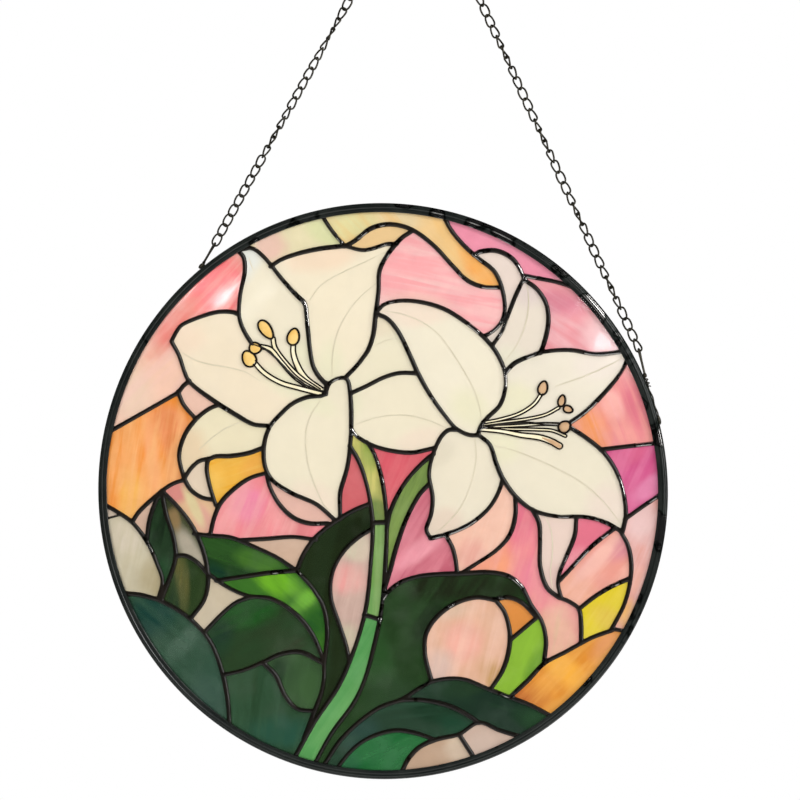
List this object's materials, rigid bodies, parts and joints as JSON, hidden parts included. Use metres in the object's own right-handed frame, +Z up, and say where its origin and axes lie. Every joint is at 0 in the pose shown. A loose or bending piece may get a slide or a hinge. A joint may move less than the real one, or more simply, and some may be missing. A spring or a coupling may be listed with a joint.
{
  "type": "stained glass suncatcher",
  "caption": "Round leaded stained glass suncatcher with lilies and leaves in a dark metal ring, hung from a small ring on two fine chains.",
  "frame": {"origin": "inside top of the hanging ring, where it rests on a nail or hook", "axes": "+Z up, the glass panel hanging below; +Y to the panel's back, so its front faces -Y; +X to the right seen from the front"},
  "size_m": [0.3, 0.0064, 0.4817],
  "materials": {
    "opal_white": "cream opalescent glass, glossy",
    "spring_green": "pale green streaky glass, glossy",
    "emerald": "mid green mottled glass, glossy",
    "leaf_green": "bright leaf green streaky glass, glossy",
    "lime": "lime green glass, glossy",
    "dark_green": "dark green streaky glass, glossy",
    "teal": "dark blue-green streaky glass, glossy",
    "pale_gold": "pale green to gold streaky glass, glossy",
    "lemon": "lemon yellow glass, glossy",
    "amber": "amber glass, glossy",
    "orange": "orange and peach streaky glass, glossy",
    "peach": "peach opalescent glass, glossy",
    "blush": "pale pink and beige opalescent glass, glossy",
    "rose": "rose pink streaky glass, glossy",
    "crimson": "deep pink-red glass, glossy",
    "magenta": "magenta pink streaky glass, glossy",
    "beige": "beige opalescent glass, glossy",
    "black_lead": "lead and solder with a black patina, glossy",
    "dark_frame": "charcoal patina on a metal channel, satin",
    "aged_steel": "steel wire darkened with age"
  },
  "bodies": {
    "root": {"frame_ring": "dark_frame", "lead_came": "black_lead", "lily_a_high": "opal_white", "lily_a_top": "opal_white", "lily_a_left": "opal_white", "lily_a_low": "opal_white", "lily_a_behind": "opal_white", "lily_a_right_upper": "opal_white", "lily_a_right_lower": "opal_white", "lily_b_wide": "opal_white", "lily_b_narrow": "opal_white", "lily_b_long": "opal_white", "lily_b_broad": "opal_white", "lily_b_front": "opal_white", "lily_b_low": "opal_white", "stem_high": "spring_green", "stem_middle": "spring_green", "stem_low": "emerald", "second_stem": "spring_green", "sky_green": "pale_gold", "ribbon_gold": "pale_gold", "rose_heart": "rose", "rose_right": "rose", "sunset_right": "orange", "magenta_right": "magenta", "blush_right": "blush", "fan_rose": "blush", "lemon": "lemon", "blush_long": "rose", "peach_upper": "peach", "rose_lower": "rose", "crimson_middle": "crimson", "rose_left": "rose", "orange_left": "orange", "blush_left": "blush", "amber_left": "amber", "rose_large": "rose", "beige_stem": "beige", "beige_left": "beige", "peach_round": "peach", "orange_right": "orange", "bud_left": "dark_green", "bud_body": "dark_green", "leaf_upper": "leaf_green", "leaf_bright": "leaf_green", "leaf_arch": "dark_green", "leaf_mound": "dark_green", "leaf_shell": "dark_green", "leaf_shore": "teal", "leaf_hollow": "teal", "leaf_crest": "dark_green", "leaf_lime": "lime", "leaf_wave_upper": "dark_green", "leaf_wave_lower": "dark_green", "leaf_floor": "teal", "hanging_ring": "aged_steel", "chain_left": "aged_steel", "chain_right": "aged_steel", "wire_eye_left": "aged_steel", "wire_eye_right": "aged_steel"}
  },
  "joints": []
}
